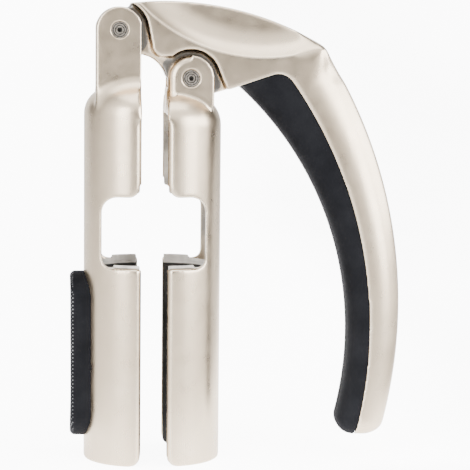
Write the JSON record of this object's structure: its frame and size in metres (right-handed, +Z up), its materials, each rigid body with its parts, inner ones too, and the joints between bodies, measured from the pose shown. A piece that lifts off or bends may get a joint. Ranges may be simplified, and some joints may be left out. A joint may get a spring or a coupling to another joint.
{
  "type": "champagne opener",
  "caption": "Champagne opener with a split tube that closes on the cork and the bottle neck, worked by a curved squeeze lever with a soft grip.",
  "frame": {"origin": "on the bottle axis of the fixed left jaw, level with the mouth of the tube", "axes": "+X to the right from the fixed jaw to the lever, +Y away from the viewer of the picture, +Z up along the bottle axis from the mouth to the pivots"},
  "size_m": [0.1195, 0.04, 0.1643],
  "materials": {
    "nickel": "satin nickel plate on die-cast zinc, warm light grey",
    "steel": "plain turned steel, slightly darker than the plate",
    "soft_black": "soft-touch moulded rubber, matt with a fine grain",
    "hard_black": "moulded black plastic",
    "liner": "dark grey moulded rubber",
    "nylon": "natural nylon"
  },
  "bodies": {
    "fixed_jaw": {"left_shell": "nickel", "palm_pad": "soft_black", "palm_pad_core": "hard_black", "palm_pad_screws": "steel", "left_pivot_pin": "steel", "left_neck_liner": "liner", "left_cork_liner": "liner"},
    "lever": {"lever": "nickel", "lever_grip": "soft_black", "grip_core": "hard_black", "grip_screws": "steel", "left_thrust_washers": "nylon", "right_thrust_washers": "nylon"},
    "moving_jaw": {"right_shell": "nickel", "right_pivot_pin": "steel", "right_neck_liner": "liner", "right_cork_liner": "liner"}
  },
  "joints": [
    {"name": "lever_pivot", "type": "hinge", "parent": "fixed_jaw", "child": "lever", "pos_m": [-0.0076, 0, 0.154], "axis": [0, 1, 0], "range_deg": [-20, 18]},
    {"name": "jaw_pivot", "type": "hinge", "parent": "lever", "child": "moving_jaw", "pos_m": [0.0176, 0, 0.1372], "axis": [0, 1, 0], "range_deg": [-18, 20]}
  ],
  "couplings": [
    {"joint": "jaw_pivot", "follows": "lever_pivot", "ratio": -1}
  ]
}
